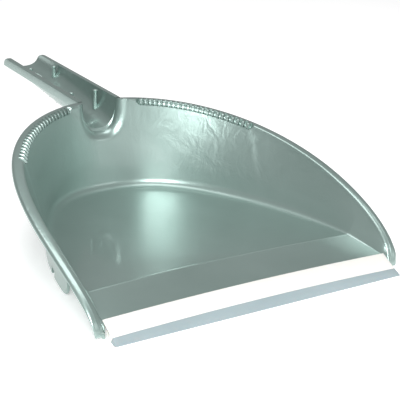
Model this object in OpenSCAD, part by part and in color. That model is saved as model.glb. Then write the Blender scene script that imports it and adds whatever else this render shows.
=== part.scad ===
// Dust pan with a raised rim, a hollow snap-in handle and a soft front lip.
// Origin: centre of the footprint, on the table. +X right, +Y towards the handle, +Z up.

/* [Tray] */
// width over the lip's blade
lip_w = 250; // [200:1:300]
// distance from the rim's front ends to its back
rim_depth = 230.5; // [180:0.5:280]
// height of the rim at the back
rim_h = 89.5; // [60:0.5:120]
// height of the rim's front ends
rim_front_h = 5.4; // [4:0.1:10]
// how far the rim spreads outwards towards the back
rim_bulge = 12; // [0:0.5:30]
// level of the tray floor
floor_h = 16.2; // [10:0.1:24]
// distance from the blade's edge to the start of the floor
floor_front = 53.5; // [40:0.5:80]
// depth of the floor
floor_depth = 172; // [120:0.5:220]
// width of the floor at its front
floor_w = 234; // [180:1:280]
// how far the floor's front line bends back in the middle
floor_bend = 5; // [0:0.5:10]
// thickness of the walls and floor
wall_t = 2.2; // [1.6:0.1:3.5]
// radius where the wall meets the floor
foot_r = 7; // [3:0.5:12]

/* [Rim] */
// width of the flat rim at the sides and back
rim_w = 9; // [6:0.1:14]
// width of the bead at the rim's front ends
bead_w = 7.5; // [5:0.1:10]
// depth of the rim's turned-down edge
rim_drop = 3.2; // [3:0.1:10]
// teeth on each side for combing out the brush
comb_count = 23; // [10:1:30]
// width of a comb tooth
comb_t = 2.4; // [1.5:0.1:4]

/* [Lip] */
// distance from the blade's edge to the front of the white strip
strip_y = 5.7; // [4:0.1:9]
// height of the strip's front edge above the table
strip_z = 4.17; // [3:0.1:8]
// breadth of the white strip
strip_len = 15.6; // [10:0.1:22]
// slope of the white strip in degrees
strip_tilt = 28.3; // [15:0.1:40]
// thickness of the white strip
strip_t = 4.6; // [3:0.1:6]
// how far the strip arches up in the middle
lip_arch = 2.2; // [0:0.1:4]

/* [Handle] */
// length of the handle behind the rim
handle_len = 131; // [100:1:180]
// width over the handle's flanges at the rim
handle_w = 41; // [34:0.5:50]
// width over the flanges at the handle's end
handle_end_w = 38.5; // [30:0.5:48]
// height of the flanges at the handle's end
handle_end_h = 96; // [80:0.5:120]
// depth of the channel at the tray
channel_d = 26.3; // [18:0.1:34]
// depth of the channel at the handle's end
channel_end_d = 9.8; // [8:0.1:20]
// width of each flange
flange_w = 4.6; // [3:0.1:7]
// how far the handle's outer edges turn down
flange_drop = 7.5; // [3:0.5:9]
// length of the hanging slot
slot_len = 14; // [8:0.5:24]
// width of the hanging slot
slot_w = 9; // [3:0.1:12]

/* [Hidden] */
eps = 0.05;
ns = 64;
nl = 24;
nc = 12;
rim_y = 13.6;
rim_half = 132.5;
rim_pow = 0.753;
rise_pow = 0.54;
floor_pow = 1.24;
side_pow = 0.777;
floor_taper = 8;
strip_half = lip_w / 2 - 1;
cheek_x = rim_half - bead_w;
total_y = rim_y + rim_depth + handle_len;
mid_y = total_y / 2;
dir_y = cos(strip_tilt);
dir_z = sin(strip_tilt);
front_angle = asin(pow((floor_front - rim_y) / rim_depth, 1 / rim_pow));
mouth_y = 231.3;

pan_grey = [0.51, 0.6, 0.58];
strip_white = [0.94, 0.94, 0.92];
blade_grey = [0.66, 0.73, 0.75];

function spow(v, p) = v == 0 ? 0 : sign(v) * pow(abs(v), p);
function mix(a, b, t) = a + (b - a) * t;
function clamp01(t) = max(0, min(1, t));
function unit2(v) = v / norm(v);
function bez(a, b, c, t) = (1 - t) * (1 - t) * a + 2 * t * (1 - t) * b + t * t * c;

// angle round the rim for station i: 0 at the right front end, 90 at the back, 180 at the left
function half_angle(k) = 90 * pow(k, 1.35);
function station(i) = i <= ns / 2
    ? half_angle(2 * i / ns)
    : 180 - half_angle(2 * (ns - i) / ns);

// outer edge of the rim
function rim_u(a) = pow(max(sin(a), 0), rim_pow);
function rim_xy(a) = [
    (rim_half + rim_bulge * sqrt(rim_u(a))) * spow(cos(a), 0.987),
    rim_y + rim_depth * rim_u(a)
];
function rim_z(a) = rim_front_h + (rim_h - rim_front_h) * pow(rim_u(a), rise_pow);
function rim_in(a) =
    let (d = 0.4,
         t = rim_xy(min(180, a + d)) - rim_xy(max(0, a - d)))
    a < 0.01 ? [-1, 0] : a > 179.99 ? [1, 0] : unit2([-t[1], t[0]]);
function rim_width(a) = mix(bead_w, rim_w, clamp01(rim_u(a) / 0.3));

// height of the ramp's upper face at its side edges
function ramp_z(y) =
    let (y0 = strip_y + strip_len * dir_y, z0 = strip_z + strip_len * dir_z - 1.25 / dir_y)
    mix(z0, floor_h, clamp01((y - y0) / (floor_front - y0)));

// line where the wall meets the floor or ramp
function foot_half(y) = mix(cheek_x, floor_w / 2, clamp01((y - rim_y) / (floor_front - rim_y)));
function foot_side(a) =
    let (y = rim_xy(a)[1])
    [foot_half(y), y, min(ramp_z(y), rim_z(a) - 3.6)];
function foot_back(a) =
    let (b = 90 * (a - front_angle) / (90 - front_angle), s = pow(sin(b), floor_pow))
    [(floor_w / 2 - floor_taper * s) * pow(max(cos(b), 0), side_pow),
     floor_front + floor_depth * s, floor_h];
function foot_right(a) = a < front_angle ? foot_side(a) : foot_back(a);
function foot(a) =
    a <= 90 ? foot_right(a) : let (f = foot_right(180 - a)) [-f[0], f[1], f[2]];
function up(v, dz) = [v[0], v[1], max(0.3, v[2] + dz)];
function side(v, n, d) = [v[0] + n[0] * d, v[1] + n[1] * d, v[2]];
function rim_at(a, p, dz) =
    let (r = rim_xy(a), n = rim_in(a))
    [r[0] + n[0] * p, r[1] + n[1] * p, max(0.3, rim_z(a) + dz)];

// one cross-section of the wall with its rim, from the lip's outer edge to the floor and back
function wall_section(a) =
    let (n = rim_in(a),
         w = rim_width(a),
         drop = min(rim_drop, 0.62 * rim_z(a)),
         f = foot(a),
         th = min(wall_t, 0.36 * (rim_z(a) - f[2])),
         top = rim_at(a, w, -0.75 * th),
         len = norm(top - f),
         ease = clamp01((rim_xy(a)[1] - 21) / 18),
         r = max(0.3, min(foot_r, 0.3 * len) * ease),
         dir = (top - f) / len,
         m = 0.5 * (top + f))
    concat(
        [rim_at(a, 0, -drop), rim_at(a, 0, -1.1 * th), rim_at(a, 0.8, -0.36 * th), rim_at(a, 2.2, 0),
         rim_at(a, w - 1.7, 0), rim_at(a, w - 0.5, -0.23 * th), top, m],
        [for (k = [0:4]) bez(f + dir * r, f, side(f, n, r), k / 4)],
        [for (k = [4:-1:0]) up(bez(side(f + dir * r, n, -wall_t) + [0, 0, wall_t],
                                   side(f, n, -wall_t), side(f, n, r), k / 4), -wall_t)],
        [side(m, n, -wall_t), rim_at(a, w - wall_t, -1.3 * th),
         rim_at(a, 1.8, -th), rim_at(a, 1.8, -drop)]
    );

// closed skin over a list of cross-sections that all have the same number of points
module loft(sections) {
    m = len(sections[0]);
    k = len(sections);
    pts = [for (s = sections) each s];
    faces = concat(
        [[for (j = [m - 1:-1:0]) j]],
        [for (i = [0:k - 2], j = [0:m - 1])
            each [[i * m + j, i * m + (j + 1) % m, (i + 1) * m + j],
                  [i * m + (j + 1) % m, (i + 1) * m + (j + 1) % m, (i + 1) * m + j]]],
        [[for (j = [0:m - 1]) (k - 1) * m + j]]
    );
    polyhedron(points = pts, faces = faces, convexity = 10);
}

function arch(x) = lip_arch * (1 - pow(x / (lip_w / 2), 2));
function strip_at(x, s, q) = [x, strip_y + s * dir_y - q * dir_z, strip_z + s * dir_z + q * dir_y + arch(x)];

module wall() {
    loft([for (i = [0:ns]) wall_section(station(i))]);
}

module floor_plate() {
    i0 = [for (i = [0:ns]) if (station(i) > front_angle && station(i) < 180 - front_angle) i];
    ring = [for (i = i0) let (a = station(i), f = foot(a), n = rim_in(a)) [f[0] + n[0] * 3, f[1] + n[1] * 3]];
    front = [for (k = [0:10]) let (x = mix(-floor_w / 2 + 1, floor_w / 2 - 1, k / 10))
        [x, floor_front + floor_bend * (1 - pow(2 * x / floor_w, 2))]];
    translate([0, 0, floor_h - wall_t])
        linear_extrude(height = wall_t)
            polygon(concat(ring, front));
}

// ramp from the tongue inside the white strip up to the floor
module ramp() {
    y0 = strip_y + strip_len * dir_y;
    function ramp_x(y, k) = (foot_half(y) + 1) * k;
    function row(y, t, k) =
        let (x = ramp_x(y, k),
             yy = y + t * floor_bend * (1 - k * k),
             z = ramp_z(y) + (1 - t) * arch(x))
        [x, yy, z];
    function cut(k) =
        let (x = strip_half * k - 0.2 * k,
             mids = [for (j = [0:4]) let (t = j / 4, y = mix(y0 + 1.8, floor_front, t)) row(y, t, k)],
             last = mids[4] + [0, 4, -0.7])
        concat([strip_at(x, 5, -1.25), strip_at(x, strip_len, -1.25)], mids, [last, last + [0, 0, -1.2]],
               [for (j = [4:-1:0]) mids[j] + [0, 0, -wall_t]],
               [strip_at(x, strip_len, -3.35), strip_at(x, 5, -3.35)]);
    loft([for (i = [0:nl]) cut(mix(-1, 1, i / nl))]);
}

module skirt() {
    i0 = [for (i = [0:ns]) if (foot(station(i))[1] > floor_front + 28) i];
    outer = [for (i = i0) let (a = station(i), f = foot(a), n = rim_in(a)) [f[0] - n[0] * 2.2, f[1] - n[1] * 2.2]];
    inner = [for (k = [len(i0) - 1:-1:0]) let (a = station(i0[k]), f = foot(a), n = rim_in(a))
        [f[0] - n[0] * 0.2, f[1] - n[1] * 0.2]];
    difference() {
        linear_extrude(height = floor_h + 1)
            polygon(concat(outer, inner));
        for (sx = [-1, 1])
            translate([sx * 103, 120.5, 2])
                cube([30, 9, 7], center = true);
    }
}

// handle channel: t runs from the tray (0) to the handle's end (1)
function ch_y(t) = mix(mouth_y, total_y, t);
function ch_top(t) = mix(rim_h, handle_end_h, t);
function ch_depth(t) = mix(channel_d, channel_end_d, pow(t, 0.75));
function ch_half(t) = mix(handle_w, handle_end_w, t) / 2;
function ch_in(t) = ch_half(t) - flange_w;
function u_arc(w, d, lean, t) = [for (k = [0:nc])
    let (p = 180 * k / nc, x = w * spow(cos(p), 0.75), z = -d * pow(max(sin(p), 0), 0.8))
    [x, ch_y(t) + lean * (z + channel_d) * 0.2, ch_top(t) + z]];
function ch_section(t) =
    let (lean = t == 0 ? 1 : 0,
         w = ch_half(t),
         i = ch_in(t),
         o = i + wall_t,
         y = ch_y(t) + lean * channel_d * 0.2,
         z = ch_top(t),
         arc = u_arc(o, ch_depth(t) + wall_t - 2.4, lean, t))
    concat(u_arc(i, ch_depth(t), lean, t), [[-w + 0.7, y, z], [-w, y, z - 0.7], [-w, y, z - 2.4]],
           [for (k = [nc:-1:0]) arc[k] - [0, 0, 2.4]],
           [[w, y, z - 2.4], [w, y, z - 0.7], [w - 0.7, y, z]]);
function void_section(t, y) =
    let (i = ch_in(t), z = ch_top(t))
    concat([for (p = u_arc(i, ch_depth(t), 0, t)) [-p[0], y, p[2]]], [[i, y, z + 12], [-i, y, z + 12]]);

module channel() {
    loft([for (k = [0:14]) ch_section(k / 14)]);
}

module side_lips() {
    for (sx = [-1, 1])
        hull() {
            for (t = [0.085, 1])
                translate([sx * (ch_half(t) - 0.95), ch_y(t) - 0.5, ch_top(t) - 0.7 - flange_drop / 2])
                    cube([1.9, 1, flange_drop - 0.6], center = true);
        }
    for (sx = [-1, 1])
        translate([sx * (ch_half(1) + ch_in(1) + 1.2) / 2, total_y - 1, handle_end_h - 0.7 - flange_drop / 2])
            cube([ch_half(1) - ch_in(1) - 1.2, 2, flange_drop - 0.6], center = true);
}
module channel_void() {
    loft([void_section(0, mouth_y - 22), void_section(0.14, ch_y(0.14))]);
}

module comb() {
    for (sx = [0, 1], i = [0:comb_count - 1]) {
        b = mix(39, 75.5, i / (comb_count - 1));
        a = sx == 0 ? b : 180 - b;
        n = rim_in(a);
        w = rim_width(a);
        p = side([rim_xy(a)[0], rim_xy(a)[1], rim_z(a)], n, w);
        lean = norm([p[0] - foot(a)[0], p[1] - foot(a)[1]]) / (p[2] - foot(a)[2]);
        translate([rim_xy(a)[0], rim_xy(a)[1], rim_z(a)])
            rotate(atan2(n[1], n[0]))
                hull() {
                    translate([w - 4.4, -comb_t / 2, -0.8])
                        cube([4.6, comb_t, 1.5]);
                    translate([w - 0.8, -comb_t / 2, -1.6])
                        cube([2, comb_t, 1.6]);
                    translate([w - 0.5 + lean * 3, -comb_t / 2, -4.2])
                        cube([1.5, comb_t, 1]);
                }
    }
}

// two pairs of posts that snap round the brush handle
module posts() {
    for (sx = [-1, 1], y = [266, 339]) {
        t = (y - mouth_y) / (total_y - mouth_y);
        c = pow(11.5 / ch_in(t), 1 / 0.75);
        z0 = ch_top(t) - ch_depth(t) * pow(sqrt(1 - c * c), 0.8) - 1.2;
        translate([sx * 11.5, y, z0])
            cylinder(h = ch_top(t) - 1.4 - z0, r = 1.6, $fn = 24);
        translate([sx * 11.5, y, ch_top(t) - 2])
            sphere(r = 1.9, $fn = 16);
    }
}
module grip_ribs() {
    for (i = [0:5]) {
        t = (276 + i * 12 - mouth_y) / (total_y - mouth_y);
        translate([0, ch_y(t), ch_top(t) - ch_depth(t) - wall_t - 0.3])
            cube([14, 2.4, 2.4], center = true);
    }
}

module pan_body() {
    color(pan_grey)
        translate([0, -mid_y, 0])
            difference() {
                union() {
                    difference() {
                        union() {
                            wall();
                            floor_plate();
                            ramp();
                            skirt();
                            comb();
                        }
                        channel_void();
                    }
                    channel();
                    side_lips();
                    posts();
                    grip_ribs();
                }
                translate([0, 351, 84])
                    linear_extrude(height = 30, center = true)
                        hull()
                            for (e = [-1, 1])
                                translate([0, e * (slot_len - slot_w) / 2])
                                    circle(d = slot_w, $fn = 24);
            }
}

module lip_carrier() {
    function cut(x) = [
        strip_at(x, 0, 0), strip_at(x, strip_len, 0), strip_at(x, strip_len, -1.2),
        strip_at(x, 4.8, -1.2), strip_at(x, 4.8, -3.4), strip_at(x, strip_len, -3.4),
        strip_at(x, strip_len, -strip_t), strip_at(x, 0, -strip_t)
    ];
    color(strip_white)
        translate([0, -mid_y, 0])
            loft([for (i = [0:nl]) cut(mix(-strip_half, strip_half, i / nl))]);
}

module lip_blade() {
    function cut(k) =
        let (x = strip_half * k, b = lip_w / 2 * k)
        [strip_at(x, 0, 0), strip_at(x, 0, -strip_t), [b, 2, 0], [b, 0.2, 0], [b, 0, 0.6]];
    color(blade_grey)
        translate([0, -mid_y, 0])
            loft([for (i = [0:nl]) cut(mix(-1, 1, i / nl))]);
}

pan_body();
lip_carrier();
lip_blade();
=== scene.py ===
import math

import bmesh
import bpy
import numpy as np
from mathutils import Matrix, Vector


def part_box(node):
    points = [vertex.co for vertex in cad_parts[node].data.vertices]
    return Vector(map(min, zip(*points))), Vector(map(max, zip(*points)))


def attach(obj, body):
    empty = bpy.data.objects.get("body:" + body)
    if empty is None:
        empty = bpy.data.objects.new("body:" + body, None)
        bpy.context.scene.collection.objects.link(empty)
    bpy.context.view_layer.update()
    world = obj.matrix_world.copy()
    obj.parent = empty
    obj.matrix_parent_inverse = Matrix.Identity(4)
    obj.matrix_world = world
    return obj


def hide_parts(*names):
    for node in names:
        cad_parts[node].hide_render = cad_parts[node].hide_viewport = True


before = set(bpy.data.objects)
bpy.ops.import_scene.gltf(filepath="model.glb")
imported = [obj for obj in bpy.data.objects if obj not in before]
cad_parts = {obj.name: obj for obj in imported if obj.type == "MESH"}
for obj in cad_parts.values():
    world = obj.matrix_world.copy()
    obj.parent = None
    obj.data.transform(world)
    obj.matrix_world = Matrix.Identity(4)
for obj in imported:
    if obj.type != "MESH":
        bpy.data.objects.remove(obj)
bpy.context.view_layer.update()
lo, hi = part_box("pan_body")
blade_lo, blade_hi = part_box("lip_blade")

# ---------------------------------------------------------------- sizes, in mm, y from the blade's front edge
# The rim, wall, floor, lip and handle follow the same curves as the CAD part.
MID = -1000 * blade_lo[1]
TOTAL = 1000 * hi[1] + MID
LIP = 1000 * (blade_hi[0] - blade_lo[0])
RIM_Y, RIM_D, RIM_H, RIM_Z0 = 13.6, 230.5, 89.5, 5.4
RIM_HALF, BULGE, RIM_W, BEAD_W, DROP = 132.5, 12.0, 9.0, 7.5, 3.2
FLOOR_H, FLOOR_Y, FLOOR_D, FLOOR_W, BEND, WALL, FOOT_R = 16.2, 53.5, 172.0, 234.0, 5.0, 2.2, 7.0
S_Y, S_Z, S_LEN, S_TILT, S_T, ARCH = 5.7, 4.17, 15.6, math.radians(28.3), 4.6, 2.2
MOUTH, END_H, CH_D, CH_END_D, H_W, H_END_W, FLANGE = 231.3, 96.0, 26.3, 9.8, 41.0, 38.5, 4.6
DY, DZ = math.cos(S_TILT), math.sin(S_TILT)
CHEEK = RIM_HALF - BEAD_W
STRIP_HALF = LIP / 2 - 1
RIM_POW, RISE_POW, FLOOR_POW, SIDE_POW, DEPTH_POW = 0.753, 0.54, 1.24, 0.777, 0.75
FLOOR_TAPER = 8.0
SKIRT_START, SKIRT_CORNER = 28.0, 7.0
COMB_COUNT, COMB_FROM, COMB_TO, COMB_DEEP = 23, 39.0, 75.5, 4.6
POST_X, POST_Y = 11.5, (266, 339)
RIB_COUNT, RIB_Y, RIB_STEP = 6, 276, 12
SLOT_Y, SLOT_LEN, SLOT_W = 351, 14, 9
LIP_TURN, TIP_LEN = 5.2, 6.0
FRONT = math.degrees(math.asin(((FLOOR_Y - RIM_Y) / RIM_D) ** (1 / RIM_POW)))
RAMP_Y0 = S_Y + S_LEN * DY
RAMP_Z0 = S_Z + S_LEN * DZ - 1.25 / DY


def mix(a, b, t):
    return a + (b - a) * t


def c01(t):
    return max(0.0, min(1.0, t))


def smooth(t):
    t = c01(t)
    return t * t * (3 - 2 * t)


def spow(v, p):
    return math.copysign(abs(v) ** p, v) if abs(v) > 1e-12 else 0.0


def sind(a):
    return math.sin(math.radians(a))


def cosd(a):
    return math.cos(math.radians(a))


# ---------------------------------------------------------------- the pan's surfaces, as in the CAD
def rim_u(a):
    return max(sind(a), 0.0) ** RIM_POW if sind(a) > 1e-12 else 0.0


def rim_xy(a):
    u = rim_u(a)
    return np.array([(RIM_HALF + BULGE * math.sqrt(u)) * spow(cosd(a), 0.987), RIM_Y + RIM_D * u])


def rim_z(a):
    return RIM_Z0 + (RIM_H - RIM_Z0) * rim_u(a) ** RISE_POW


def rim_in(a):
    if a < 0.01:
        return np.array([-1.0, 0.0])
    if a > 179.99:
        return np.array([1.0, 0.0])
    t = rim_xy(min(180, a + 0.4)) - rim_xy(max(0, a - 0.4))
    n = np.array([-t[1], t[0]])
    return n / np.linalg.norm(n)


def rim_width(a):
    return mix(BEAD_W, RIM_W, c01(rim_u(a) / 0.3))


def ramp_z(y):
    return mix(RAMP_Z0, FLOOR_H, c01((y - RAMP_Y0) / (FLOOR_Y - RAMP_Y0)))


def foot_half(y):
    return mix(CHEEK, FLOOR_W / 2, c01((y - RIM_Y) / (FLOOR_Y - RIM_Y)))


def foot(a):
    if a > 90:
        f = foot(180 - a)
        return np.array([-f[0], f[1], f[2]])
    if a < FRONT:
        y = rim_xy(a)[1]
        return np.array([foot_half(y), y, min(ramp_z(y), rim_z(a) - 3.6)])
    b = 90 * (a - FRONT) / (90 - FRONT)
    s = sind(b) ** FLOOR_POW
    x = (FLOOR_W / 2 - FLOOR_TAPER * s) * max(cosd(b), 0) ** SIDE_POW
    return np.array([x, FLOOR_Y + FLOOR_D * s, FLOOR_H])


def arch(x):
    return ARCH * (1 - (x / (LIP / 2)) ** 2)


def stations(n):
    out = []
    for i in range(n + 1):
        k = i / n
        out.append(90 * (2 * k) ** 1.35 if k <= 0.5 else 180 - 90 * (2 * (1 - k)) ** 1.35)
    return out


def comb_zone(a):
    b = a if a <= 90 else 180 - a
    return smooth((b - COMB_FROM + 1.4) / 0.6) * smooth((COMB_TO + 1.4 - b) / 0.6)


def bez(a, b, c, t):
    return (1 - t) ** 2 * a + 2 * t * (1 - t) * b + t * t * c


def flat(v2, z):
    return np.array([v2[0], v2[1], z])


def section(a):
    """Cross-section of rim, wall and foot: from the turned-down edge over the rim to the floor, and back."""
    n2 = rim_in(a)
    n = flat(n2, 0)
    w = rim_width(a)
    r0 = flat(rim_xy(a), rim_z(a))
    f = foot(a)
    drop = min(DROP, 0.62 * r0[2])
    th = min(WALL, 0.36 * (r0[2] - f[2]))
    y = r0[1]
    ease = mix(0.35 * c01((y - 21) / 18), 1, smooth((y - 50) / 110))

    def at(p, dz):
        q = r0 + n * p
        return np.array([q[0], q[1], max(0.3, q[2] + dz)])

    front = 1 - smooth((rim_u(a) - 0.05) / 0.4)
    ro = mix(2.3, 3.6, front)
    ri = mix(1.9, 3.3, front)
    zo = min(1.1 * th, mix(2.0, 2.4, front))
    zi = 0.75 * th
    top = at(w, -zi)
    ln = np.linalg.norm(top - f)
    r = max(0.3, min(FOOT_R, 0.3 * ln) * ease)
    d = (top - f) / ln
    lean = np.linalg.norm((top - f)[:2]) / max(1.0, top[2] - f[2])
    pts = [at(1.7, -drop), at(1.2, -drop - 0.12), at(0.45, -drop - 0.05), at(0, -drop + 0.5)]
    for k in range(6):
        t = math.pi / 2 * k / 5
        pts.append(at(ro * (1 - math.cos(t)), -zo * (1 - math.sin(t))))
    pts.append(at(mix(ro, w - ri, 0.33), 0.12 * (1 - front) + 0.2 * front))
    pts.append(at(mix(ro, w - ri, 0.67), 0.12 * (1 - front) + 0.2 * front))
    g = comb_zone(a)
    inner = []
    for k in range(6):
        t = math.pi / 2 * k / 5
        inner.append(at(w - ri * (1 - math.sin(t)), -zi * (1 - math.cos(t))))
    grooved = [at(w - 3.9, 0), at(w - 3.8, -1.5), at(w - 2.9, -1.9), at(w - 2.7, -3.6),
               at(w - 1.4 + lean * 2.6, -4.3), at(w + lean * (COMB_DEEP - zi), -COMB_DEEP)]
    pts += [p * (1 - g) + q * g for p, q in zip(inner, grooved)]
    start = f + d * r
    last = pts[-1]
    for k in range(1, 8):
        pts.append(mix(last, start, k / 8))
    fillet = [bez(start, f, f + n * r, k / 9) for k in range(10)]
    pts += fillet
    lower = []
    for k in range(9, -1, -1):
        q = bez(start - n * WALL + np.array([0, 0, WALL]), f - n * WALL, f + n * r, k / 9)
        lower.append(np.array([q[0], q[1], max(0.3, q[2] - WALL)]))
    under = at(w - WALL, -1.3 * th)
    lower += [mix(lower[-1], under, k / 6) for k in range(1, 6)]
    lower += [under, at(mix(1.7, w - WALL, 0.6), -1.05 * th), at(2.2, -1.05 * th), at(1.7, -1.5 * th - 0.1)]
    plug = 1 - smooth((y - RIM_Y - 1.5) / 2.5)
    for q in lower:
        q[2] = min(q[2], mix(q[2], max(0.3, min(q[2], r0[2] - drop)), plug))
    return pts, lower


# ---------------------------------------------------------------- mesh helpers
def make(name, verts, faces, mat, angle=35):
    v = np.array(verts, float)
    v[:, 1] -= MID
    me = bpy.data.meshes.new(name)
    me.from_pydata((v * 0.001).tolist(), [], faces)
    me.validate()
    bm = bmesh.new()
    bm.from_mesh(me)
    bmesh.ops.remove_doubles(bm, verts=bm.verts, dist=2e-6)
    bmesh.ops.dissolve_degenerate(bm, dist=1e-7, edges=bm.edges)
    bmesh.ops.recalc_face_normals(bm, faces=bm.faces)
    bm.to_mesh(me)
    bm.free()
    ob = bpy.data.objects.new(name, me)
    bpy.context.scene.collection.objects.link(ob)
    me.materials.append(mat)
    finish_mesh(ob, angle)
    return ob


def finish_mesh(ob, angle):
    me = ob.data
    me.polygons.foreach_set("use_smooth", [True] * len(me.polygons))
    me.set_sharp_from_angle(angle=math.radians(angle))
    me.update()


def apply(ob, angle=35):
    dg = bpy.context.evaluated_depsgraph_get()
    me = bpy.data.meshes.new_from_object(ob.evaluated_get(dg))
    old = ob.data
    ob.modifiers.clear()
    ob.data = me
    bpy.data.meshes.remove(old)
    finish_mesh(ob, angle)


def bevel(ob, width, segments=2, limit=40):
    m = ob.modifiers.new("bevel", "BEVEL")
    m.width = width * 0.001
    m.segments = segments
    m.limit_method = "ANGLE"
    m.angle_limit = math.radians(limit)
    m.harden_normals = False
    apply(ob)


def cut(ob, cutter):
    m = ob.modifiers.new("cut", "BOOLEAN")
    m.operation = "DIFFERENCE"
    m.solver = "EXACT"
    m.object = cutter
    bpy.context.view_layer.update()
    apply(ob)
    me = cutter.data
    bpy.data.objects.remove(cutter)
    bpy.data.meshes.remove(me)


def grid_faces(rows, cols, close=False, flip=False):
    out = []
    for i in range(rows - 1):
        for j in range(cols - (0 if close else 1)):
            k = (j + 1) % cols
            q = [i * cols + j, i * cols + k, (i + 1) * cols + k, (i + 1) * cols + j]
            out.append(q[::-1] if flip else q)
    return out


def add_faces(faces, first, rows, cols, ends=True):
    """Add a closed run of rings, whose vertices start at index first, to a list of faces."""
    faces += [[first + v for v in f] for f in grid_faces(rows, cols, close=True)]
    if ends:
        faces.append([first + j for j in range(cols)])
        faces.append([first + (rows - 1) * cols + j for j in range(cols)][::-1])


def loft(name, rings, mat, angle=35, caps=None):
    cols = len(rings[0])
    faces = grid_faces(len(rings), cols, close=True)
    if caps:
        faces += [list(f) for f in caps]
        faces += [[(len(rings) - 1) * cols + j for j in f][::-1] for f in caps]
    else:
        faces.append(list(range(cols)))
        faces.append([(len(rings) - 1) * cols + j for j in range(cols)][::-1])
    return make(name, [p for r in rings for p in r], faces, mat, angle)


# ---------------------------------------------------------------- materials
def nodes_of(name):
    m = bpy.data.materials.new(name)
    m.use_nodes = True
    nt = m.node_tree
    return m, nt, nt.nodes["Principled BSDF"]


def add(nt, kind, **values):
    n = nt.nodes.new(kind)
    for k, v in values.items():
        if k.startswith("in_"):
            n.inputs[k[3:].replace("_", " ")].default_value = v
        else:
            setattr(n, k, v)
    return n


def ramp(nt, fac, stops):
    n = nt.nodes.new("ShaderNodeValToRGB")
    while len(n.color_ramp.elements) < len(stops):
        n.color_ramp.elements.new(0.5)
    for e, (p, c) in zip(n.color_ramp.elements, stops):
        e.position = p
        e.color = (*c, 1) if len(c) == 3 else c
    nt.links.new(fac, n.inputs["Fac"])
    return n


def noise(nt, coord, scale, detail=3.0, rough=0.5, stretch=None, distortion=0.0):
    src = coord
    if stretch:
        mp = nt.nodes.new("ShaderNodeMapping")
        mp.inputs["Scale"].default_value = stretch
        nt.links.new(coord, mp.inputs["Vector"])
        src = mp.outputs["Vector"]
    n = nt.nodes.new("ShaderNodeTexNoise")
    n.inputs["Scale"].default_value = scale
    n.inputs["Detail"].default_value = detail
    n.inputs["Roughness"].default_value = rough
    n.inputs["Distortion"].default_value = distortion
    nt.links.new(src, n.inputs["Vector"])
    return n.outputs["Fac"]


def mathn(nt, op, a, b=None):
    n = nt.nodes.new("ShaderNodeMath")
    n.operation = op
    for i, v in enumerate((a, b)):
        if v is None:
            continue
        if isinstance(v, (int, float)):
            n.inputs[i].default_value = v
        else:
            nt.links.new(v, n.inputs[i])
    return n.outputs[0]


def pan_material():
    """Pearly moulded plastic: soft flow marks, fine scratches, and a wavy surface above the floor."""
    m, nt, p = nodes_of("pan_pearl")
    co = nt.nodes.new("ShaderNodeTexCoord").outputs["Object"]
    flow = noise(nt, co, 9, 4, 0.55, (1, 1, 2.2), 0.6)
    col = ramp(nt, flow, [(0.25, PAN_DARK), (0.75, PAN_LIGHT)]).outputs["Color"]
    nt.links.new(col, p.inputs["Base Color"])
    p.inputs["Metallic"].default_value = PAN_METAL
    p.inputs["Specular IOR Level"].default_value = 0.5
    p.inputs["Coat Weight"].default_value = 0.6
    p.inputs["Coat Roughness"].default_value = 0.07
    rough = mathn(nt, "ADD", mathn(nt, "MULTIPLY", noise(nt, co, 22, 4, 0.6), 0.10), PAN_ROUGH)
    nt.links.new(rough, p.inputs["Roughness"])
    fine = noise(nt, co, 900, 2, 0.5)
    streak = noise(nt, co, 60, 3, 0.6, (4, 4, 0.7), 0.4)
    sep = nt.nodes.new("ShaderNodeSeparateXYZ")
    nt.links.new(co, sep.inputs[0])
    high = nt.nodes.new("ShaderNodeMapRange")
    high.inputs["From Min"].default_value = 0.022
    high.inputs["From Max"].default_value = 0.034
    nt.links.new(sep.outputs["Z"], high.inputs["Value"])
    wavy = noise(nt, co, 60, 3, 0.62, (1, 1, 0.8), 1.5)
    h = mathn(nt, "ADD", mathn(nt, "MULTIPLY", fine, 0.10), mathn(nt, "MULTIPLY", streak, 0.9))
    h = mathn(nt, "ADD", h, mathn(nt, "MULTIPLY", mathn(nt, "MULTIPLY", wavy, high.outputs[0]), 4.0))
    b = add(nt, "ShaderNodeBump", in_Strength=0.16, in_Distance=0.0006)
    nt.links.new(h, b.inputs["Height"])
    nt.links.new(b.outputs["Normal"], p.inputs["Normal"])
    return m


def soft_material(name, lo_c, hi_c, rough, scale, bump, clear=0.0):
    m, nt, p = nodes_of(name)
    co = nt.nodes.new("ShaderNodeTexCoord").outputs["Object"]
    n = noise(nt, co, scale, 4, 0.55, (0.35, 1, 1), 0.3)
    nt.links.new(ramp(nt, n, [(0.3, lo_c), (0.7, hi_c)]).outputs["Color"], p.inputs["Base Color"])
    r = mathn(nt, "ADD", mathn(nt, "MULTIPLY", noise(nt, co, scale * 3, 3), 0.12), rough)
    nt.links.new(r, p.inputs["Roughness"])
    b = add(nt, "ShaderNodeBump", in_Strength=bump, in_Distance=0.0003)
    nt.links.new(noise(nt, co, 420, 2, 0.5, (0.08, 1, 1)), b.inputs["Height"])
    nt.links.new(b.outputs["Normal"], p.inputs["Normal"])
    p.inputs["Subsurface Weight"].default_value = clear
    p.inputs["Subsurface Scale"].default_value = 0.002
    return m


PAN_DARK, PAN_LIGHT = (0.300, 0.402, 0.374), (0.368, 0.476, 0.447)
PAN_METAL, PAN_ROUGH = 0.76, 0.31
PAN = pan_material()
WHITE = soft_material("strip_white", (0.74, 0.735, 0.70), (0.78, 0.775, 0.745), 0.42, 30, 0.12, 0.05)
BLADE = soft_material("blade_grey", (0.285, 0.352, 0.372), (0.322, 0.392, 0.412), 0.34, 40, 0.15, 0.08)

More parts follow.
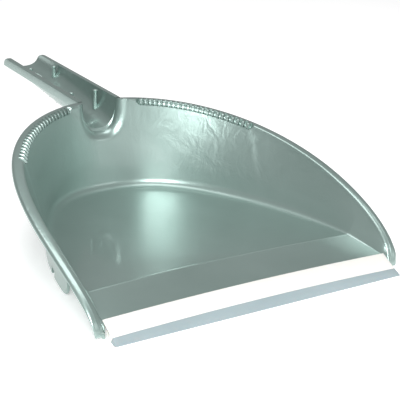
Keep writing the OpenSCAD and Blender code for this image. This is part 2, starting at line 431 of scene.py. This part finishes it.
# ---------------------------------------------------------------- rim and wall
A = stations(300)
secs = [section(a) for a in A]
rings = [u + l for u, l in secs]
cols = len(rings[0])
faces = grid_faces(len(rings), cols, close=True)
n_up = len(secs[0][0])
faces = [f for f in faces if not ({c % cols for c in f} == {n_up - 1, n_up})]
faces.append(list(range(cols)))
faces.append([(len(rings) - 1) * cols + j for j in range(cols)][::-1])
wall = make("tray_wall", [p for r in rings for p in r], faces, PAN, 50)

# ---------------------------------------------------------------- floor and ramp
inner = [u[-1] for u, l in secs]
half = inner[: len(inner) // 2 + 1]
ys = np.array([p[1] for p in half])
xs = np.array([p[0] for p in half])
order = np.argsort(ys)
y_end = ys.max()
crease = FLOOR_Y
rows = list(np.linspace(RAMP_Y0 + 0.4, crease - 2.0, 16))
rows += [crease - 1.2, crease - 0.7, crease - 0.35, crease, crease + 0.35, crease + 0.7, crease + 1.2]
rows += [crease + 2 + (y_end - crease - 2.02) * math.sin(math.pi / 2 * k / 70) for k in range(0, 71)]
lift = {crease - 0.7: 0.06, crease - 0.35: 0.17, crease: 0.22, crease + 0.35: 0.14, crease + 0.7: 0.04}
KC = 60


def floor_row(y, dz):
    xe = float(np.interp(y, ys[order], xs[order])) + 0.7
    ze = ramp_z(y)
    t = c01((y - RAMP_Y0) / (FLOOR_Y - RAMP_Y0))
    bend = BEND * (t if y < crease else 1 - smooth((y - crease) / 60))
    out = []
    for k in range(KC + 1):
        s = 2 * k / KC - 1
        s = math.sin(math.pi / 2 * s) * 0.35 + s * 0.65
        x = xe * s
        e = 1 - s * s
        out.append([x, y + bend * e, ze + (1 - t) * arch(x) + dz + lift.get(y, 0.0) * (1 if dz == 0 else 0)])
    return out


top = [p for y in rows for p in floor_row(y, 0.0)]
bot = [p for y in rows for p in floor_row(y, -WALL)]
nr, width = len(rows), KC + 1
ff = grid_faces(nr, width) + [[i + nr * width for i in f] for f in grid_faces(nr, width, flip=True)]
for j in range(KC):
    ff.append([j + 1, j, j + nr * width, j + 1 + nr * width])
floor_ob = make("tray_floor", top + bot, ff, PAN, 50)

# ---------------------------------------------------------------- skirt under the tray
sk = []
for a in [a for a in A if foot(a)[1] > FLOOR_Y + SKIRT_START]:
    f, n = foot(a), flat(rim_in(a), 0)
    o, i = f - n * 2.2, f - n * 0.2
    e = c01(1 - (f[1] - FLOOR_Y - SKIRT_START) / 9)
    zb = SKIRT_CORNER * (1 - math.sqrt(1 - e * e))
    sk.append([[o[0], o[1], FLOOR_H + 1], [o[0], o[1], zb + 0.5], [*(o + n * 0.5)[:2], zb],
               [*(i - n * 0.4)[:2], zb], [i[0], i[1], zb + 0.4], [i[0], i[1], FLOOR_H + 1]])
skirt = loft("tray_skirt", sk, PAN, 50)


def box_mesh(name, c, s):
    v = [[c[0] + s[0] * i / 2, c[1] + s[1] * j / 2, c[2] + s[2] * k / 2]
         for i in (-1, 1) for j in (-1, 1) for k in (-1, 1)]
    f = [[0, 1, 3, 2], [4, 6, 7, 5], [0, 4, 5, 1], [2, 3, 7, 6], [0, 2, 6, 4], [1, 5, 7, 3]]
    return make(name, v, f, PAN)


for sx in (-1, 1):
    cut(skirt, box_mesh("cutter", (sx * 103, 120.5, 2), (30, 9, 7)))

# ---------------------------------------------------------------- handle channel with a flared mouth
MOUTH_R = 7.0
NCH = 36


def ch_t(y):
    return (y - MOUTH) / (TOTAL - MOUTH)


def ch_top(y):
    return mix(RIM_H, END_H, ch_t(y))


def ch_depth(y):
    return mix(CH_D, CH_END_D, max(0.0, ch_t(y)) ** DEPTH_POW)


def ch_half(y):
    return mix(H_W, H_END_W, c01(ch_t(y))) / 2


WA = np.linspace(55, 125, 141)
W_FOOT = np.array([foot(a) for a in WA])
W_TOP = np.array([flat(rim_xy(a) + rim_in(a) * rim_width(a), rim_z(a) - 1.65) for a in WA])


def wall_y(x, z):
    t = (z - FLOOR_H) / (RIM_H - 1.65 - FLOOR_H)
    p = W_FOOT * (1 - t) + W_TOP * t
    o = np.argsort(p[:, 0])
    return float(np.interp(x, p[o, 0], p[o, 1]))


def u_point(p, w, d, top):
    """One point of the channel's round-bottomed section; p runs from 0 (right top) to pi."""
    return w * spow(math.cos(p), 0.75), top - d * max(math.sin(p), 0.0) ** 0.8


def mouth_ring(phi, grow, extra=0.0, inner_r=0.0):
    """Section of the flare: phi 0 joins the channel and pi/2 lies on the wall.

    inner_r is the shell's thickness.
    """
    out = []
    rr = MOUTH_R - inner_r
    off = MOUTH_R - rr * math.cos(phi) + grow
    for k in range(NCH + 1):
        p = math.pi * k / NCH
        x, z = u_point(p, ch_half(MOUTH) - FLANGE + off, CH_D + off, RIM_H)
        yw = wall_y(x, min(z, RIM_H))
        y = yw + MOUTH_R - rr * math.sin(phi) - extra
        out.append([x, y, z])
    return out


def channel_ring(y, grow):
    w, d = ch_half(y) - FLANGE + grow, ch_depth(y) + grow
    arc = [u_point(math.pi * k / NCH, w, d, ch_top(y)) for k in range(NCH + 1)]
    return [[x, y, z] for x, z in arc]


def lifted(ring, dz):
    return [[ring[-1][0], ring[-1][1], ring[-1][2] + dz], [ring[0][0], ring[0][1], ring[0][2] + dz]]


# the void that the mouth takes out of the wall and rim
vr = [mouth_ring(math.pi / 2, 0.05, extra=30)]
vr += [mouth_ring(math.pi / 2 * (1 - k / 10), 0.05, extra=0.02) for k in range(0, 11)]
vr += [channel_ring(y, 0.05) for y in (246.0, 252.0)]
void = loft("cutter", [r + lifted(r, 12) for r in vr], PAN)
cut(wall, void)

# the channel itself, as one closed shell with flanges
TIP_Y = TOTAL - TIP_LEN
ys_c = [MOUTH + MOUTH_R + 1.5 + k * (TIP_Y - MOUTH - MOUTH_R - 1.5) / 26 for k in range(27)]
ys_c += [TIP_Y + TIP_LEN * math.sin(math.pi / 2 * k / 6) for k in range(1, 7)]


def tip(y):
    e = max(0.0, y - TIP_Y)
    return 4.6 * (1 - math.sqrt(max(0.0, 1 - (e / TIP_LEN) ** 2)))


def shell_ring(inner_arc, outer_arc, w, sink, turn=0.0, thick=2.3, closed=False):
    """One closed ring: inner arc, left flange with its turned-down edge, outer arc, right flange."""
    a, b = inner_arc[-1], inner_arc[0]
    z1, z2 = a[2] - sink, b[2] - sink
    inner_pts = [list(p) for p in inner_arc]

    def edge(e, y, z, s):
        m = abs(e) + 1.3 if closed else w - 1.9
        low = z - thick - turn
        return [[e + s * 0.5, y, z + 0.12], [mix(e, s * w, 0.5), y, z + 0.22], [s * (w - 0.9), y, z],
                [s * (w - 0.25), y, z - 0.25], [s * w, y, z - 0.9], [s * w, y, low + 0.5],
                [s * (w - 0.4), y, low], [s * (m + 0.4), y, low], [s * m, y, z - thick - turn * 0.95],
                [s * m, y, z - thick]]

    left = edge(a[0], a[1], z1, -1)
    right = edge(b[0], b[1], z2, 1)[::-1]
    for p in inner_pts:
        p[2] = min(p[2], z1 if p[0] < 0 else z2)
    oa = [[p[0], p[1], min(p[2], z1 - thick)] for p in outer_arc]
    return inner_pts + left + oa[::-1] + right


rings = []
for k in range(11):
    phi = math.pi / 2 * (1 - k / 10)
    i_, o_ = mouth_ring(phi, 0.0), mouth_ring(phi, 0.0, inner_r=WALL)
    rings.append(shell_ring(i_, o_, max(ch_half(MOUTH), i_[0][0] + 1.2, o_[0][0] + 0.6), 0.18))
for y in ys_c:
    sink = 0.18 if y < RIM_Y + RIM_D - 2.0 else 0.0
    i_, o_ = channel_ring(y, 0.0), channel_ring(y, WALL - 0.3)
    turn = LIP_TURN * smooth((y - 240) / 4) - tip(y)
    rings.append(shell_ring(i_, o_, ch_half(y), sink + tip(y), turn, closed=y > TOTAL - 4))

N1 = NCH + 1
L1 = N1 + 10
caps = [[k, k + 1, L1 + N1 - 2 - k, L1 + N1 - 1 - k] for k in range(NCH)]
caps += [[N1 - 1] + list(range(N1, L1)) + [L1], list(range(L1 + N1 - 1, L1 + N1 + 10)) + [0]]
handle = loft("handle_channel", rings, PAN, 42, caps=caps)


def rounded_slot(name, c, length, width, depth):
    ring = []
    for z in (-depth / 2, depth / 2):
        r = []
        for k in range(28):
            p = 2 * math.pi * k / 28
            e = (length - width) / 2 * (1 if math.sin(p) > 0 else -1)
            r.append([c[0] + width / 2 * math.cos(p), c[1] + width / 2 * math.sin(p) + e, c[2] + z])
        ring.append(r)
    return loft(name, ring, PAN)


cut(handle, rounded_slot("cutter", (0, SLOT_Y, 84), SLOT_LEN, SLOT_W, 30))


# ---------------------------------------------------------------- comb teeth


def tooth(a, verts, faces):
    n = flat(rim_in(a), 0)
    t = np.array([-n[1], n[0], 0.0])
    w = rim_width(a)
    base = flat(rim_xy(a), rim_z(a))
    tp = base + n * w
    f = foot(a)
    lean = np.linalg.norm((tp - f)[:2]) / (tp[2] - f[2])
    prof = [(w - 4.4, -2.4), (w - 4.4, -0.2), (w - 3.9, 0.12), (w - 1.2, 0.15), (w - 0.1, -0.2),
            (w + 0.6, -1.0), (w + 0.9 + lean * 2, -2.4), (w + 0.8 + lean * 3.2, -3.6),
            (w + 0.3 + lean * 3.8, -4.3), (w - 2 + lean * 3, -4.3)]
    b0 = len(verts)
    for s, shrink in ((-1.0, 0.3), (-0.78, 0.0), (0.78, 0.0), (1.0, 0.3)):
        cx, cz = w - 1.5, -2.5
        for p, z in prof:
            d = np.array([p - cx, z - cz])
            k = 1 - shrink / max(0.6, np.linalg.norm(d))
            q = base + n * (cx + d[0] * k) + t * s
            verts.append([q[0], q[1], q[2] + cz + d[1] * k])
    add_faces(faces, b0, 4, len(prof))


tv, tf = [], []
for mirrored in (False, True):
    for i in range(COMB_COUNT):
        b = mix(COMB_FROM, COMB_TO, i / (COMB_COUNT - 1))
        tooth(180 - b if mirrored else b, tv, tf)
comb = make("comb_teeth", tv, tf, PAN, 40)

# ---------------------------------------------------------------- posts that hold the brush handle
POST_SEG, POST_SCALE = 20, 1.18
pv, pf = [], []
for yy in POST_Y:
    for sx in (-1, 1):
        cp = (POST_X / (ch_half(yy) - FLANGE)) ** (1 / 0.75)
        z0 = ch_top(yy) - ch_depth(yy) * math.sqrt(1 - cp * cp) ** 0.8 - 1.2
        ztop = ch_top(yy) - 0.4
        prof = [(0.01, z0), (1.55, z0), (1.55, ztop - 2.6), (1.6, ztop - 2.2), (2.05, ztop - 1.4),
                (2.1, ztop - 0.8), (1.7, ztop - 0.15), (0.9, ztop + 0.1), (0.01, ztop + 0.15)]
        b0 = len(pv)
        for r, z in prof:
            for k in range(POST_SEG):
                q = 2 * math.pi * k / POST_SEG
                pv.append([sx * POST_X + POST_SCALE * r * math.cos(q), yy + POST_SCALE * r * math.sin(q), z])
        add_faces(pf, b0, len(prof), POST_SEG, ends=False)
posts = make("snap_posts", pv, pf, PAN, 40)

# ---------------------------------------------------------------- finger ribs under the handle
rv, rf = [], []
for i in range(RIB_COUNT):
    y = RIB_Y + i * RIB_STEP
    zb = ch_top(y) - ch_depth(y) - WALL - 0.3
    b0 = len(rv)
    ring = [(-1.2, 1.3), (-1.2, -0.7), (-0.7, -1.2), (0.7, -1.2), (1.2, -0.7), (1.2, 1.3)]
    for x, k in ((-7, 0.75), (-6.4, 1.0), (6.4, 1.0), (7, 0.75)):
        for dy, dz in ring:
            rv.append([x, y + dy * k, zb + dz * k])
    add_faces(rf, b0, 4, len(ring))
ribs = make("grip_ribs", rv, rf, PAN, 40)


# ---------------------------------------------------------------- lip
def strip_at(x, s, q):
    return [x, S_Y + s * DY - q * DZ, S_Z + s * DZ + q * DY + arch(x)]


carrier_rings, blade_rings = [], []
for i in range(61):
    k = 2 * i / 60 - 1
    x, b = STRIP_HALF * k, LIP / 2 * k
    outline = [(0, 0), (S_LEN, 0), (S_LEN, -1.2), (4.8, -1.2), (4.8, -3.4),
               (S_LEN, -3.4), (S_LEN, -S_T), (0, -S_T)]
    carrier_rings.append([strip_at(x, s, q) for s, q in outline])
    blade_rings.append([strip_at(x, 0, 0), strip_at(x, 0, -S_T), [b, 2, 0], [b, 0.2, 0], [b, 0, 0.6]])
carrier = loft("lip_strip", carrier_rings, WHITE, 30)
bevel(carrier, 0.35, 2, 50)
blade = loft("lip_soft_blade", blade_rings, BLADE, 30)
bevel(blade, 0.15, 2, 30)

for ob in (wall, floor_ob, skirt, handle, comb, posts, ribs):
    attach(ob, "root")
    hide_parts("pan_body")
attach(carrier, "root")
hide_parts("lip_carrier")
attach(blade, "root")
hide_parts("lip_blade")


# ---------------------------------------------------------------- floor, light and camera
def stage_plane(name, size, z):
    me = bpy.data.meshes.new(name)
    s = size / 2
    me.from_pydata([(-s, -s, z), (s, -s, z), (s, s, z), (-s, s, z)], [], [(0, 1, 2, 3)])
    ob = bpy.data.objects.new(name, me)
    bpy.context.scene.collection.objects.link(ob)
    m, nt, p = nodes_of(name)
    co = nt.nodes.new("ShaderNodeTexCoord").outputs["Object"]
    pale = ramp(nt, noise(nt, co, 3, 2), [(0.3, (0.90, 0.90, 0.90)), (0.7, (0.93, 0.93, 0.93))])
    nt.links.new(pale.outputs["Color"], p.inputs["Base Color"])
    p.inputs["Roughness"].default_value = 0.9
    p.inputs["Emission Color"].default_value = (1, 1, 1, 1)
    p.inputs["Emission Strength"].default_value = 0.38
    me.materials.append(m)
    return ob


stage_plane("stage_floor", 12.0, 0.0)


def area(name, loc, target, size, power):
    d = bpy.data.lights.new(name, "AREA")
    d.shape = "RECTANGLE"
    d.size, d.size_y = size
    d.energy = power
    ob = bpy.data.objects.new(name, d)
    bpy.context.scene.collection.objects.link(ob)
    ob.location = loc
    ob.rotation_euler = (Vector(target) - Vector(loc)).to_track_quat("-Z", "Y").to_euler()
    return ob


area("front", (-0.80, -1.3, 0.9), (0, 0.02, 0.04), (1.1, 0.8), 31)
area("fill", (0.9, -1.5, 0.5), (0, 0.05, 0.04), (0.5, 0.4), 1.5)
area("top", (0.1, 0.1, 1.9), (0, -0.05, 0.03), (1.1, 1.2), 13)
world = bpy.data.worlds.new("studio")
bpy.context.scene.world = world
world.use_nodes = True
world.node_tree.nodes["Background"].inputs["Color"].default_value = (1, 1, 1, 1)
world.node_tree.nodes["Background"].inputs["Strength"].default_value = 0.3

# the camera: focal length in units of a 400-wide frame, angles, and place in mm
F_PX, PITCH, YAW, ROLL = 1270.8, math.radians(20.056), math.radians(35.663), math.radians(3.242)
POS = (-515.7, -628.6, 374.5)
cam_d = bpy.data.cameras.new("camera")
cam = bpy.data.objects.new("camera", cam_d)
bpy.context.scene.collection.objects.link(cam)
cam_d.sensor_width = 36.0
cam_d.lens = F_PX * 36.0 / 400
cam_d.clip_start, cam_d.clip_end = 0.01, 50
fwd = Vector((math.sin(YAW) * math.cos(PITCH), math.cos(YAW) * math.cos(PITCH), -math.sin(PITCH)))
right = Vector((math.cos(YAW), -math.sin(YAW), 0))
up = right.cross(fwd)
r2 = right * math.cos(ROLL) + up * math.sin(ROLL)
u2 = up * math.cos(ROLL) - right * math.sin(ROLL)
rot = Matrix((r2, u2, -fwd)).transposed().to_4x4()
cam.matrix_world = Matrix.Translation(Vector((POS[0], POS[1] - MID, POS[2])) * 0.001) @ rot
bpy.context.scene.camera = cam

bpy.context.scene.view_settings.view_transform = "Standard"
bpy.context.view_layer.update()
